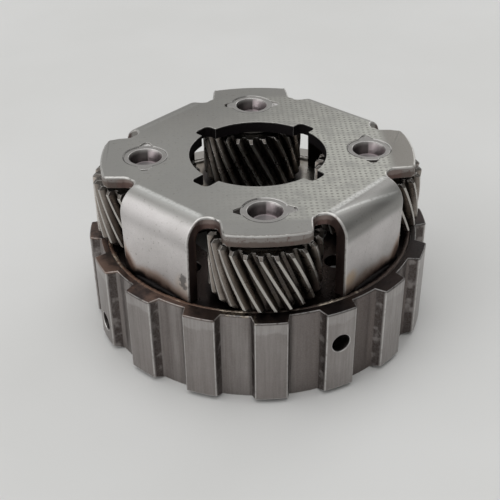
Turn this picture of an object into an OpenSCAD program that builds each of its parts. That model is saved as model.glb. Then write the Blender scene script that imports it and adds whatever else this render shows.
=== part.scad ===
// Planet carrier of an automatic gearbox, with four helical planet gears.
// The lower rim of the clutch hub stands on Z = 0, the main axis is +Z, planet 1 is at the front (-Y).
// All sizes are in millimetres.

/* [Whole unit] */
// Height from the hub's lower rim to the top face of the cage
unit_h = 51; // [47:0.5:58]
// Distance from the tops of the splines in to the axis of each planet pin
pin_inset = 18; // [17.4:0.1:18.8]

/* [Clutch hub] */
// Radius over the tops of the splines
hub_r = 50; // [45:0.5:56]
// Height of the hub
hub_h = 27.5; // [22:0.5:29.5]
// Number of splines round the hub
spline_count = 16; // [12:4:20]
// Turn of the splines against the planets
spline_turn = 0.45; // [0:0.05:22]
// Depth of the grooves between the splines
spline_depth = 3.2; // [2:0.1:3.4]
// Width of a spline at its top
spline_tip_w = 8.8; // [6:0.1:10]
// Extra width of a spline at its foot
spline_flare_w = 1.4; // [0:0.1:3]
// Height of the sloped lead-in at the lower end of each spline
spline_lead_h = 1.4; // [0.5:0.1:4]
// Wall of the lip that surrounds the base plate, measured at a spline groove
lip_t = 1.8; // [1.2:0.1:2.4]
// Width of the ledge that carries the base plate
ledge_w = 2; // [1:0.1:4]
// Diameter of the radial oil holes
oil_hole_d = 5.4; // [2:0.1:6.4]
// Height of the upper oil holes
oil_hole_high_z = 16.9; // [13:0.1:19]
// Height of the lower oil holes
oil_hole_low_z = 7.7; // [5:0.1:11]

/* [Base plate] */
// Thickness of the base plate
base_t = 4; // [3:0.1:6]
// Depth of the base plate's top face below the hub's top face
base_drop = 0.9; // [0.2:0.1:2]
// Width of the base plate between its bore and the pin holes
base_web = 5.4; // [3:0.1:8]
// Diameter of the plain holes below the legs
base_hole_d = 6.4; // [3:0.1:9]
// Distance from the outer face of a leg in to the plain hole behind it
base_hole_inset = 12.6; // [10:0.1:14]

/* [Carrier cage] */
// Thickness of the cage's sheet
plate_t = 3.4; // [2.6:0.1:4]
// Distance from the tops of the splines in to the outer arc of each lobe
lobe_inset = 5.3; // [3:0.1:7]
// Width of each lobe at its outer end
lobe_w = 22.9; // [20:0.1:24]
// Slope of the sides of each lobe
lobe_angle = 4; // [0:0.5:8]
// Radius of the outer corners of the lobes
lobe_corner_r = 1.8; // [0.5:0.1:4]
// Radius of the back corners of the left and right lobes
lobe_round_r = 5; // [0.5:0.1:7]
// Width of each leg at its foot
leg_w = 24.8; // [20:0.1:26]
// Extra width of a leg at its bend, on each side
leg_flare = 0.4; // [0:0.1:1]
// Distance from the tops of the splines in to the outer face of each leg
leg_inset = 8; // [7.8:0.1:8.6]
// Outer radius of the bend between the plate and a leg
bend_r = 6.2; // [4.2:0.1:7]
// Radius of the reliefs between the lobes and the legs
relief_r = 3.3; // [2:0.1:3.6]
// Width of the tenon below each leg
tenon_w = 10; // [4:0.5:12]
// Width of the plate between its round window and the pin holes
window_web = 6.3; // [5:0.1:9]
// Width of the four notches in the window's edge
notch_w = 5.8; // [4:0.1:8]
// Depth of the notches
notch_depth = 3; // [2:0.1:4]
// Extra depth of the front left notch
key_depth = 1.6; // [0:0.1:2.5]
// Radius of the corners at the end of each notch
notch_corner_r = 1.6; // [0.5:0.1:1.9]
// Reach of the two stake marks beside each pin
stake_l = 2.3; // [1:0.1:3]
// Width of the stake marks at the pin
stake_w = 4.4; // [2:0.1:6]
// Depth of the stake marks
stake_depth = 1.2; // [0.4:0.1:2]

/* [Planet pins] */
// Diameter of a pin
pin_d = 12.2; // [11:0.1:12.4]
// Depth of a pin's end below the face of the cage
pin_sink = 0.15; // [0:0.05:0.5]
// Diameter of the cone in the end of a pin
pin_cup_d = 9.6; // [8:0.1:10.4]
// Depth of the cone in the end of a pin
pin_cup_depth = 3; // [1:0.1:4]
// Diameter of the flat floor below the cone
pin_hole_d = 7.4; // [4:0.1:8.4]
// Depth of the flat floor below the end of a pin
pin_hole_depth = 3.4; // [3.1:0.1:10]
// Diameter of the feed hole from below
pin_feed_d = 4.2; // [2:0.1:6]
// Diameter of the cross hole that feeds the rollers
pin_cross_d = 2.4; // [1:0.1:4]
// Reach of the lip that is spread into the first stake mark
lip_far = 1.5; // [0.2:0.1:2]
// Reach of the lip that is spread into the second stake mark
lip_near = 0.5; // [0.2:0.1:2]

/* [Planet gears] */
// Number of teeth
gear_teeth = 23; // [20:1:26]
// Diameter over the tips of the teeth
gear_d = 31; // [29:0.1:31.6]
// Depth of a tooth
tooth_h = 2.5; // [1.8:0.1:2.9]
// Pressure angle of the teeth, square to them
pressure_angle = 17.5; // [14.5:0.5:22]
// Angle of the teeth to the gear's axis
helix_angle = 25; // [5:0.5:32]
// Bevel at both ends of the teeth
gear_bevel = 1.05; // [0.4:0.05:1.6]
// Turn of the front gear at rest
gear_turn_1 = 12.3; // [0:0.1:15.6]
// Turn of the right gear at rest
gear_turn_2 = 6.1; // [0:0.1:15.6]
// Turn of the back gear at rest
gear_turn_3 = 0.6; // [0:0.1:15.6]
// Turn of the left gear at rest
gear_turn_4 = 7.2; // [0:0.1:15.6]

/* [Bearings] */
// Diameter of a needle roller
needle_d = 2; // [1.5:0.1:2.4]
// Distance from a gear's end in to the end of its needle rollers
needle_gap = 1.4; // [0.5:0.1:4]
// Radial play on each side of the rollers
needle_play = 0.02; // [0.01:0.01:0.05]
// Thickness of a bronze washer, which lies on a plate
bronze_t = 0.65; // [0.4:0.05:1]
// Thickness of a steel washer, which lies on a bronze one
steel_t = 0.65; // [0.4:0.05:1]
// Gap between a gear's end and its steel washer
end_play = 0.3; // [0.2:0.05:0.5]
// Play of the washers on the pin, on each side
washer_play = 0.1; // [0.05:0.05:0.3]
// Diameter of the washers
washer_d = 21; // [19:0.1:23.6]

/* [Welds] */
// Radius of the weld bead round the base plate
hub_bead_r = 1; // [0.6:0.1:1.2]
// Radius of the weld bead at the foot of a leg
leg_bead_r = 1; // [0.6:0.1:1.1]
// Length of the weld bead at the foot of a leg
leg_bead_l = 16; // [8:0.5:17]

/* [Hidden] */
$fn = 96;

// radial room of pieces that fit in each other, and how far cuts and joined pieces run past a face
slip = 0.02;
past = 1;
// how far a round corner runs past the two edges it joins, so that it crosses them
seam = 0.004;

// hub
root_r = hub_r - spline_depth;
// sideways run of a spline's flank for each millimetre of depth
spline_slope = spline_flare_w / 2 / spline_depth;
// the first oil hole is in the spline just right of the front one
oil_angle = 360 / spline_count - 90;
seat_r = root_r - lip_t;
hub_bore_r = seat_r - ledge_w;
base_top = hub_h - base_drop;
base_low = base_top - base_t;
pin_circle_r = hub_r - pin_inset;
base_bore_r = pin_circle_r - pin_d / 2 - base_web;

// cage
under_z = unit_h - plate_t;
lobe_r = hub_r - lobe_inset;
leg_face = hub_r - leg_inset;
base_hole_r = leg_face - base_hole_inset;
bend_u = leg_face - bend_r;
bend_z = unit_h - bend_r;
window_r = pin_circle_r - pin_d / 2 - window_web;
notch_r = window_r + notch_depth;
// side of a lobe: its distance from the main axis, square to the side
lobe_side = lobe_w / 2 * cos(lobe_angle) + lobe_r * sin(lobe_angle);
// half of a leg's width at the bend
leg_half = leg_w / 2 + leg_flare;
// corner between the side of a lobe and the side of a leg, and the middle of its relief
corner_x = (lobe_side - sin(lobe_angle) * sqrt(2) * leg_half) / (cos(lobe_angle) + sin(lobe_angle));
corner_y = corner_x + sqrt(2) * leg_half;
relief_x = (lobe_side + relief_r - sin(lobe_angle) * sqrt(2) * (leg_half + relief_r)) / (cos(lobe_angle) + sin(lobe_angle));
relief_y = relief_x + sqrt(2) * (leg_half + relief_r);
relief_u = (relief_x + relief_y) / sqrt(2);

// gears
planet_angle = [-90, 0, 90, 180];
gear_turn = [gear_turn_1, gear_turn_2, gear_turn_3, gear_turn_4];
washer_stack = bronze_t + steel_t + end_play;
gear_low = base_top + washer_stack;
gear_w = under_z - base_top - 2 * washer_stack;
gear_mid = gear_low + gear_w / 2;
needle_l = gear_w - 2 * needle_gap;
tip_r = gear_d / 2;
tooth_root_r = tip_r - tooth_h;
addendum = 0.516 * tooth_h;
pitch_r = tip_r - addendum;
twist_per_mm = tan(helix_angle) / pitch_r * 180 / PI;
pressure = atan(tan(pressure_angle) / cos(helix_angle));
involute_r = pitch_r * cos(pressure);
needle_r = pin_d / 2 + needle_play + needle_d / 2;
gear_bore_r = needle_r + needle_d / 2 + needle_play;
needle_side = needle_d / 2 + 1.5 * needle_play;
needle_count = floor(180 / asin(needle_side / needle_r));

// Difference between the tangent of an angle and the angle, in degrees
function roll(a) = tan(a) * 180 / PI - a;
// Half the angle of a tooth at radius r
function half_tooth(r) = 89 / gear_teeth + roll(pressure) - (r > involute_r ? roll(acos(involute_r / r)) : 0);
// One tooth from root to tip and back, as pairs of radius and angle
function tooth() = let (a = tooth_root_r, b = tooth_root_r + 0.15 * tooth_h, c = tooth_root_r + 0.45 * tooth_h)
    [[a, -half_tooth(a) - 0.9], [b, -half_tooth(b)], [c, -half_tooth(c)], [tip_r, -half_tooth(tip_r)],
     [tip_r, half_tooth(tip_r)], [c, half_tooth(c)], [b, half_tooth(b)], [a, half_tooth(a) + 0.9]];
// All teeth of a gear in one ring, as pairs of radius and angle
gear_ring = [for (k = [0:gear_teeth - 1]) for (p = tooth()) [p[0], p[1] + k * 360 / gear_teeth]];
ring_n = len(gear_ring);
// Heights of the rings of a gear above its lower end, from just below it to just above the upper one
gear_steps = 6;
gear_spare = 0.3;
gear_levels = concat([-gear_spare], [for (k = [0:gear_steps]) gear_bevel + (gear_w - 2 * gear_bevel) * k / gear_steps],
    [gear_w + gear_spare]);
level_n = len(gear_levels);
// Largest radius at a height, which falls off over the bevels
function bevel_limit(z) = tip_r - max(0, gear_bevel - min(z, gear_w - z));

module at_planet(i) {
    rotate([0, 0, planet_angle[i - 1]]) translate([pin_circle_r, 0, 0]) children();
}

module at_leg(i) {
    rotate([0, 0, planet_angle[i - 1] + 45]) children();
}

// Half of the outline of a lobe that points to +Y, at the side of +X, with an outer corner of radius r
module lobe_half(r) {
    turn = lobe_angle + acos((lobe_side - r) / (lobe_r - r));
    middle = (lobe_r - r) * [cos(turn), sin(turn)];
    side = middle + r * [cos(lobe_angle), sin(lobe_angle)];
    tip = lobe_r * [cos(turn), sin(turn)];
    foot = side[0] + side[1] * tan(lobe_angle);
    polygon([[-past, 0], [foot, 0], side, tip, [-past, tip[1]]]);
    intersection() {
        circle(r = lobe_r);
        polygon([[-past, 0], [0, 0], 1.2 * tip, [-past, 1.2 * tip[1]]]);
    }
    translate(middle) circle(r = r + seam);
}

// Outline of the flat top of the cage, up to the bends; the lobes follow each other from the back one to the left
module plate_outline() {
    for (k = [0:3]) rotate(90 * k) {
        lobe_half(k == 1 ? lobe_round_r : lobe_corner_r);
        mirror([1, 0]) lobe_half(k == 3 ? lobe_round_r : lobe_corner_r);
    }
    for (a = [45:90:315]) rotate(a) translate([0, -leg_half]) square([bend_u, 2 * leg_half]);
    for (a = [0:90:270]) rotate(a) for (m = [0, 1]) mirror([m, 0]) intersection() {
        polygon([[corner_x - past, corner_y - past],
            [relief_x - relief_r * cos(lobe_angle) - past, relief_y - relief_r * sin(lobe_angle)],
            [relief_x - relief_r * cos(lobe_angle), relief_y - relief_r * sin(lobe_angle)],
            [relief_x + relief_r / sqrt(2), relief_y - relief_r / sqrt(2)],
            [relief_x + relief_r / sqrt(2) + past / 2, relief_y - relief_r / sqrt(2) - past / 2]]);
        rotate(45) translate([0, -hub_r]) square([bend_u, 2 * hub_r]);
    }
}

// Side view of a bend, with a short flat that reaches into the plate
module bend_profile() {
    translate([-past, bend_r - plate_t]) square([past, plate_t]);
    intersection() {
        difference() {
            circle(r = bend_r);
            circle(r = bend_r - plate_t);
        }
        square(bend_r + past);
    }
}

// One leg with its bend and tenon, towards +X; strips beside the bend leave metal for the round ends of the reliefs
module leg() {
    wide = leg_half + 0.3 * relief_r;
    intersection() {
        translate([bend_u, wide, bend_z]) rotate([90, 0, 0]) linear_extrude(2 * wide) union() {
            bend_profile();
            translate([bend_r - plate_t, base_top - bend_z]) square([plate_t, bend_z - base_top]);
        }
        translate([bend_u - 2 * past, 0, 0]) rotate([90, 0, 90]) linear_extrude(bend_r + 3 * past) polygon([
            [-leg_w / 2, base_top - past], [leg_w / 2, base_top - past], [leg_w / 2, base_top], [leg_half, bend_z],
            [leg_half, unit_h + past], [-leg_half, unit_h + past], [-leg_half, bend_z], [-leg_w / 2, base_top]]);
    }
    intersection() {
        translate([bend_u, wide, bend_z]) rotate([90, 0, 0]) linear_extrude(2 * wide) bend_profile();
        translate([bend_u - 2 * past, -2 * wide, bend_z - past])
            cube([relief_u - bend_u + 2 * past, 4 * wide, bend_r + 2 * past]);
    }
    translate([leg_face - plate_t, -tenon_w / 2, base_low]) cube([plate_t, tenon_w, base_t + past]);
}

// Cut for one notch in the window's edge, towards +X
module notch(reach) translate([0, 0, under_z - past]) {
    translate([0, -notch_w / 2, 0]) cube([reach - notch_corner_r, notch_w, plate_t + 2 * past]);
    translate([0, notch_corner_r - notch_w / 2, 0])
        cube([reach, notch_w - 2 * notch_corner_r, plate_t + 2 * past]);
    for (s = [-1, 1]) translate([reach - notch_corner_r, s * (notch_w / 2 - notch_corner_r), 0])
        cylinder(r = notch_corner_r, h = plate_t + 2 * past);
}

// Room of the two stake marks beside a pin
module stake_marks(gap) {
    for (s = [-1, 1]) translate([0, s * pin_d / 2]) polygon([[-stake_w / 2 + gap, 0], [0, -s * stake_l],
        [stake_w / 2 - gap, 0], [stake_w / 6 - gap, s * (stake_l - gap)], [gap - stake_w / 6, s * (stake_l - gap)]]);
}

// Pressed from one sheet: a plate with four lobes, four legs bent down between them, and a notched window
module carrier_cage() color([0.55, 0.55, 0.53]) difference() {
    union() {
        translate([0, 0, under_z]) linear_extrude(plate_t) plate_outline();
        for (i = [1:4]) at_leg(i) leg();
    }
    translate([0, 0, under_z - past]) cylinder(r = window_r, h = plate_t + 2 * past);
    for (i = [1:4]) at_leg(i) notch(notch_r + (i == 4 ? key_depth : 0));
    for (i = [1:4]) at_planet(i) {
        translate([0, 0, under_z - past]) cylinder(r = pin_d / 2 + slip, h = plate_t + 2 * past);
        translate([0, 0, unit_h - stake_depth]) linear_extrude(stake_depth + past) stake_marks(0);
    }
    for (i = [1:4]) at_leg(i) for (s = [-1, 1]) translate([relief_u, s * (leg_half + relief_r), bend_z - past])
        cylinder(r = relief_r, h = bend_r + 2 * past);
}

// Flat disc with pin holes, slots for the leg tenons, plain holes and a bore
module base_plate() color([0.42, 0.42, 0.4]) difference() {
    translate([0, 0, base_low]) cylinder(r = seat_r - slip, h = base_t);
    translate([0, 0, base_low - past]) cylinder(r = base_bore_r, h = base_t + 2 * past);
    for (i = [1:4]) {
        at_planet(i) translate([0, 0, base_low - past]) cylinder(r = pin_d / 2 + slip, h = base_t + 2 * past);
        at_leg(i) {
            translate([base_hole_r, 0, base_low - past]) cylinder(d = base_hole_d, h = base_t + 2 * past);
            translate([leg_face - plate_t - slip, -tenon_w / 2 - slip, base_low - past])
                cube([plate_t + 2 * slip, tenon_w + 2 * slip, base_t + 2 * past]);
        }
    }
}

// Short drum with wide splines on its outside, a lip and ledge for the base plate, and radial oil holes
module clutch_hub() color([0.48, 0.48, 0.47]) difference() {
    linear_extrude(hub_h) intersection() {
        circle(r = hub_r);
        union() {
            circle(r = root_r);
            for (k = [0:spline_count - 1]) rotate(spline_turn - 90 + k * 360 / spline_count) polygon([
                [root_r - past, -(spline_tip_w + spline_flare_w) / 2 - past * spline_slope],
                [hub_r + past, -spline_tip_w / 2 + past * spline_slope],
                [hub_r + past, spline_tip_w / 2 - past * spline_slope],
                [root_r - past, (spline_tip_w + spline_flare_w) / 2 + past * spline_slope]]);
        }
    }
    translate([0, 0, -past]) cylinder(r = hub_bore_r, h = hub_h + 2 * past);
    translate([0, 0, base_low]) cylinder(r = seat_r, h = hub_h);
    rotate_extrude() polygon([[root_r, 0], [hub_r + past, spline_lead_h * (spline_depth + past) / spline_depth],
        [hub_r + past, -past], [root_r, -past]]);
    for (k = [0:3]) rotate([0, 0, spline_turn + oil_angle + 90 * k])
        translate([hub_bore_r - 2 * past, 0, k % 2 == 0 ? oil_hole_high_z : oil_hole_low_z])
            rotate([0, 90, 0]) cylinder(d = oil_hole_d, h = hub_r - hub_bore_r + 4 * past);
}

// Bead that joins the base plate to the hub's lip
module hub_weld() color([0.22, 0.19, 0.17]) rotate_extrude() intersection() {
    translate([seat_r, base_top]) circle(r = hub_bead_r);
    translate([seat_r - 2 * hub_bead_r, base_top]) square([2 * hub_bead_r, 2 * hub_bead_r]);
}

// Bead at the outer foot of a leg
module leg_weld(i) color([0.2, 0.17, 0.15]) at_leg(i)
    translate([leg_face, leg_bead_l / 2, base_top]) rotate([90, 0, 0]) linear_extrude(leg_bead_l) intersection() {
        circle(r = leg_bead_r);
        square([2 * leg_bead_r, 2 * leg_bead_r]);
    }

// Helical gear with bevelled tooth ends and a smooth bore for the rollers
module planet_gear(i) color([0.4, 0.38, 0.37]) at_planet(i) intersection() {
    translate([0, 0, gear_low]) rotate([0, 0, gear_turn[i - 1] - planet_angle[i - 1]]) polyhedron(
        points = [for (z = gear_levels) for (p = gear_ring)
            let (r = min(p[0], bevel_limit(z)), w = p[1] - twist_per_mm * z) [r * cos(w), r * sin(w), z]],
        faces = concat(
            [[for (n = [0:ring_n - 1]) n]],
            [[for (n = [ring_n - 1:-1:0]) (level_n - 1) * ring_n + n]],
            [for (k = [0:level_n - 2]) for (n = [0:ring_n - 1]) let (m = (n + 1) % ring_n)
                [k * ring_n + n, (k + 1) * ring_n + n, (k + 1) * ring_n + m]],
            [for (k = [0:level_n - 2]) for (n = [0:ring_n - 1]) let (m = (n + 1) % ring_n)
                [k * ring_n + n, (k + 1) * ring_n + m, k * ring_n + m]]));
    translate([0, 0, gear_low]) difference() {
        cylinder(r = tip_r + past, h = gear_w);
        translate([0, 0, -past]) cylinder(r = gear_bore_r, h = gear_w + 2 * past);
    }
}

// Ground pin with a cone and a flat floor in its upper end, two spread lips and a feed hole from below
module planet_pin(i) color([0.7, 0.7, 0.7]) at_planet(i) difference() {
    union() {
        translate([0, 0, base_low]) cylinder(d = pin_d, h = unit_h - pin_sink - base_low);
        translate([0, 0, unit_h - stake_depth + slip]) linear_extrude(stake_depth - slip - pin_sink) intersection() {
            stake_marks(2 * slip);
            union() {
                translate([0, lip_far]) circle(d = pin_d);
                translate([0, -lip_near]) circle(d = pin_d);
            }
        }
    }
    translate([0, 0, unit_h - pin_sink - pin_hole_depth]) cylinder(d = pin_hole_d, h = pin_hole_depth + past);
    translate([0, 0, unit_h - pin_sink - pin_cup_depth])
        cylinder(d1 = pin_hole_d, d2 = pin_cup_d, h = pin_cup_depth);
    translate([0, 0, base_low - past]) cylinder(d = pin_feed_d, h = gear_mid - base_low + 2 * past);
    translate([0, 0, gear_mid]) rotate([0, 90, 0]) cylinder(d = pin_cross_d, h = pin_d, center = true);
}

// Full row of needle rollers between a pin and its gear
module needle_rollers(i) color([0.72, 0.72, 0.72]) at_planet(i)
    for (k = [0:needle_count - 1]) rotate([0, 0, k * 360 / needle_count])
        translate([needle_r, 0, gear_mid - needle_l / 2]) cylinder(d = needle_d, h = needle_l, $fn = 32);

module washer(i, z, t) at_planet(i) difference() {
    translate([0, 0, z]) cylinder(d = washer_d, h = t);
    translate([0, 0, z - past]) cylinder(r = pin_d / 2 + washer_play, h = t + 2 * past);
}

module steel_washer_upper(i) color([0.5, 0.5, 0.5]) washer(i, under_z - bronze_t - steel_t, steel_t);
module steel_washer_lower(i) color([0.5, 0.5, 0.5]) washer(i, base_top + bronze_t, steel_t);
module bronze_washer_upper(i) color([0.6, 0.45, 0.28]) washer(i, under_z - bronze_t, bronze_t);
module bronze_washer_lower(i) color([0.6, 0.45, 0.28]) washer(i, base_top, bronze_t);

carrier_cage();
base_plate();
clutch_hub();
hub_weld();
leg_weld(1);  // leg_weld_1
leg_weld(2);  // leg_weld_2
leg_weld(3);  // leg_weld_3
leg_weld(4);  // leg_weld_4
planet_gear(1);  // planet_gear_1
planet_gear(2);  // planet_gear_2
planet_gear(3);  // planet_gear_3
planet_gear(4);  // planet_gear_4
planet_pin(1);  // planet_pin_1
planet_pin(2);  // planet_pin_2
planet_pin(3);  // planet_pin_3
planet_pin(4);  // planet_pin_4
needle_rollers(1);  // needle_rollers_1
needle_rollers(2);  // needle_rollers_2
needle_rollers(3);  // needle_rollers_3
needle_rollers(4);  // needle_rollers_4
steel_washer_upper(1);  // steel_washer_upper_1
steel_washer_upper(2);  // steel_washer_upper_2
steel_washer_upper(3);  // steel_washer_upper_3
steel_washer_upper(4);  // steel_washer_upper_4
steel_washer_lower(1);  // steel_washer_lower_1
steel_washer_lower(2);  // steel_washer_lower_2
steel_washer_lower(3);  // steel_washer_lower_3
steel_washer_lower(4);  // steel_washer_lower_4
bronze_washer_upper(1);  // bronze_washer_upper_1
bronze_washer_upper(2);  // bronze_washer_upper_2
bronze_washer_upper(3);  // bronze_washer_upper_3
bronze_washer_upper(4);  // bronze_washer_upper_4
bronze_washer_lower(1);  // bronze_washer_lower_1
bronze_washer_lower(2);  // bronze_washer_lower_2
bronze_washer_lower(3);  // bronze_washer_lower_3
bronze_washer_lower(4);  // bronze_washer_lower_4
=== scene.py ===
import math

import bmesh
import bpy
from mathutils import Matrix, Vector, noise


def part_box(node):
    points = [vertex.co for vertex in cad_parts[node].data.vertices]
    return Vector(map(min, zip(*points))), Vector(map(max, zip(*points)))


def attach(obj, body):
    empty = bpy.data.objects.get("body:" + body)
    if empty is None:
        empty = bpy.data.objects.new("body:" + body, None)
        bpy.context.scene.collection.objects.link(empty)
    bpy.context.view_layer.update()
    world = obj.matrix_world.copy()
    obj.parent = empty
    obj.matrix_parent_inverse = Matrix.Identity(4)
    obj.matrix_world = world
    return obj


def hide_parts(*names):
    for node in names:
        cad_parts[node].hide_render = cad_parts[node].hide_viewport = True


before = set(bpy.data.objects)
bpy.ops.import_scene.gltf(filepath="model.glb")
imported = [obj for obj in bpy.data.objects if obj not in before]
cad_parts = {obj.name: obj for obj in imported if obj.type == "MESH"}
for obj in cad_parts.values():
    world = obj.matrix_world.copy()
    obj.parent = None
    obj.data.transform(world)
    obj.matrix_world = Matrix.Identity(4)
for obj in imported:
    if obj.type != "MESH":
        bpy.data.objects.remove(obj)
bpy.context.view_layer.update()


# Table, light and camera
# The carrier stands on a pale painted table top in soft daylight: a broad window on the left,
# a second bright patch behind on the right, a dull grey wall on the right and the even light of the room.
TABLE_WIDTH = 12.0
TABLE_COLOUR = (0.630, 0.630, 0.620, 1.0)
TABLE_PALE = (0.655, 0.655, 0.648, 1.0)
WALL_GREY = (0.26, 0.265, 0.26, 1.0)
WALL_SIZE = (0.62, 2.6)
WALL_PLACE = (1.05, -0.35, 0.31)
ROOM_COLOUR = (0.640, 0.640, 0.632, 1.0)
ROOM_LEVEL = 0.82
ROOM_SEEN = 0.98


def put(tree, kind, sockets=None, **settings):
    """Adds one node, sets its options, and fills or links its inputs."""
    made = tree.nodes.new(kind)
    for key, value in settings.items():
        setattr(made, key, value)
    for key, value in (sockets or {}).items():
        if isinstance(value, bpy.types.NodeSocket):
            tree.links.new(value, made.inputs[key])
        else:
            made.inputs[key].default_value = value
    return made


def new_finish(name):
    """Starts a material with its Principled shader linked to the output."""
    finish = bpy.data.materials.new(name)
    finish.use_nodes = True
    finish.node_tree.nodes.clear()
    shader = put(finish.node_tree, "ShaderNodeBsdfPrincipled")
    put(finish.node_tree, "ShaderNodeOutputMaterial", {"Surface": shader.outputs["BSDF"]})
    return finish, finish.node_tree, shader


def cloud(tree, where, scale, detail=3.0, rough=0.55):
    """Soft random tone, 0 to 1, at a scale given in lumps per metre."""
    made = put(tree, "ShaderNodeTexNoise", {
        "Vector": where, "Scale": scale, "Detail": detail, "Roughness": rough})
    return made.outputs[0]


def ramp(tree, value, low, high, start=0.0, end=1.0):
    """A smooth step from start to end while the value goes from low to high."""
    made = put(tree, "ShaderNodeMapRange",
               {"Value": value, "From Min": low, "From Max": high, "To Min": start, "To Max": end},
               interpolation_type="SMOOTHSTEP")
    return made.outputs[0]


def two_tone(tree, share, first, second):
    """Mixes two colours by a share from 0 to 1."""
    made = put(tree, "ShaderNodeMix", {0: share, 6: first, 7: second}, data_type="RGBA")
    return made.outputs[2]


table_mesh = bmesh.new()
bmesh.ops.create_grid(table_mesh, x_segments=1, y_segments=1, size=TABLE_WIDTH / 2)
table = bpy.data.objects.new("table_top", bpy.data.meshes.new("table_top"))
table_mesh.to_mesh(table.data)
table_mesh.free()
bpy.context.scene.collection.objects.link(table)
table_paint, tree, shader = new_finish("table_paint")
place = put(tree, "ShaderNodeTexCoord").outputs["Object"]
tone = two_tone(tree, ramp(tree, cloud(tree, place, 9.0), 0.35, 0.65),
                TABLE_COLOUR, TABLE_PALE)
tree.links.new(tone, shader.inputs["Base Color"])
shader.inputs["Roughness"].default_value = 0.55
table.data.materials.append(table_paint)

world = bpy.data.worlds.new("room")
bpy.context.scene.world = world
world.use_nodes = True
world.node_tree.nodes.clear()
path = put(world.node_tree, "ShaderNodeLightPath")
seen = put(world.node_tree, "ShaderNodeMapRange", {
    "Value": path.outputs["Is Camera Ray"], "To Min": ROOM_LEVEL, "To Max": ROOM_SEEN})
sky = put(world.node_tree, "ShaderNodeBackground", {
    "Color": ROOM_COLOUR, "Strength": seen.outputs[0]})
put(world.node_tree, "ShaderNodeOutputWorld", {"Surface": sky.outputs[0]})


def soft_lamp(name, place, wide, high, watts, aim=(0.0, 0.0, 0.025)):
    """A large flat lamp that faces the carrier."""
    data = bpy.data.lights.new(name, "AREA")
    data.shape = "RECTANGLE"
    data.size = wide
    data.size_y = high
    data.energy = watts
    lamp = bpy.data.objects.new(name, data)
    lamp.location = place
    lamp.rotation_euler = (Vector(place) - Vector(aim)).to_track_quat("Z", "Y").to_euler()
    bpy.context.scene.collection.objects.link(lamp)


soft_lamp("window_left", (-1.30, -0.45, 0.80), 2.2, 1.5, 9.5)
soft_lamp("window_back_right", (0.85, 1.15, 0.80), 0.7, 0.5, 2.6)
soft_lamp("ceiling", (-0.10, -0.10, 1.70), 1.8, 1.8, 12.0)

wall_mesh = bmesh.new()
bmesh.ops.create_grid(wall_mesh, x_segments=1, y_segments=1, size=0.5)
bmesh.ops.scale(wall_mesh, verts=wall_mesh.verts[:], vec=(WALL_SIZE[0], WALL_SIZE[1], 1.0))
bmesh.ops.rotate(wall_mesh, verts=wall_mesh.verts[:], cent=(0.0, 0.0, 0.0),
                 matrix=Matrix.Rotation(-math.pi / 2, 3, "Y"))
bmesh.ops.translate(wall_mesh, verts=wall_mesh.verts[:], vec=WALL_PLACE)
wall = bpy.data.objects.new("right_wall", bpy.data.meshes.new("right_wall"))
wall_mesh.to_mesh(wall.data)
wall_mesh.free()
bpy.context.scene.collection.objects.link(wall)
wall_paint, tree, shader = new_finish("wall_paint")
shader.inputs["Base Color"].default_value = WALL_GREY
shader.inputs["Roughness"].default_value = 0.9
wall.data.materials.append(wall_paint)
wall.visible_camera = False

CAMERA_DISTANCE = 0.312124
CAMERA_HEIGHT_ANGLE = math.radians(35.928)
CAMERA_SIDE_ANGLE = math.radians(-3.283)
CAMERA_TILT = math.radians(-0.429)
CAMERA_LENS = 71.204
CAMERA_SHIFT = (-0.0177, 0.0939)
back = Vector((math.sin(CAMERA_SIDE_ANGLE) * math.cos(CAMERA_HEIGHT_ANGLE),
               -math.cos(CAMERA_SIDE_ANGLE) * math.cos(CAMERA_HEIGHT_ANGLE),
               math.sin(CAMERA_HEIGHT_ANGLE)))
level = (-back).cross(Vector((0.0, 0.0, 1.0))).normalized()
upright = level.cross(-back)
right = level * math.cos(CAMERA_TILT) + upright * math.sin(CAMERA_TILT)
up = upright * math.cos(CAMERA_TILT) - level * math.sin(CAMERA_TILT)
lens = bpy.data.cameras.new("camera")
lens.sensor_width = 36.0
lens.lens = CAMERA_LENS
lens.shift_x = CAMERA_SHIFT[0]
lens.shift_y = CAMERA_SHIFT[1]
lens.clip_start = 0.01
camera = bpy.data.objects.new("camera", lens)
turned = Matrix((right, up, back)).transposed().to_4x4()
camera.matrix_world = Matrix.Translation(back * CAMERA_DISTANCE) @ turned
bpy.context.scene.collection.objects.link(camera)
bpy.context.scene.camera = camera
bpy.context.scene.view_settings.view_transform = "Standard"


# Clutch hub
# A short steel drum, turned and broached with sixteen wide splines for the clutch plates, and drilled
# with oil holes. The spline tops are ground bright, and the grooves and flanks are darker. The grooves
# carry dirt bands and painted shade towards the right, where the crests carry a painted highlight, and the
# top land is painted near black, partly oil and partly shade under the cage.
HUB_EASE = 0.00028
SAME_PLACE = 0.000002
FLAT_ANGLE = math.radians(0.5)
SHARP_ANGLE = math.radians(38.0)
SMOOTH_ANGLE = math.radians(48.0)
ARC_RADIUS = 0.0485
CREST_RADII = (0.0492, 0.0497)
GROOVE_RADII = (0.0470, 0.0474)
RIM_HEIGHTS = (0.0268, 0.0273)
WORN_HEIGHTS = (0.0236, 0.0246)
GROUND_STEEL = (0.325, 0.300, 0.290, 1.0)
WORN_AND_LIT_STEEL = (0.470, 0.450, 0.440, 1.0)
GROOVE_STEEL = (0.300, 0.276, 0.266, 1.0)
GROOVE_DIRT_AND_SHADE = (0.115, 0.092, 0.084, 1.0)
FLANK_DARK = (0.052, 0.040, 0.037, 1.0)
OIL_AND_SHADE_BLACK = (0.040, 0.032, 0.031, 1.0)
RIM_RUST = (0.200, 0.132, 0.105, 1.0)
RIM_CLEAN = (0.420, 0.400, 0.375, 1.0)
RIM_BLACK = (0.016, 0.013, 0.013, 1.0)
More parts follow.
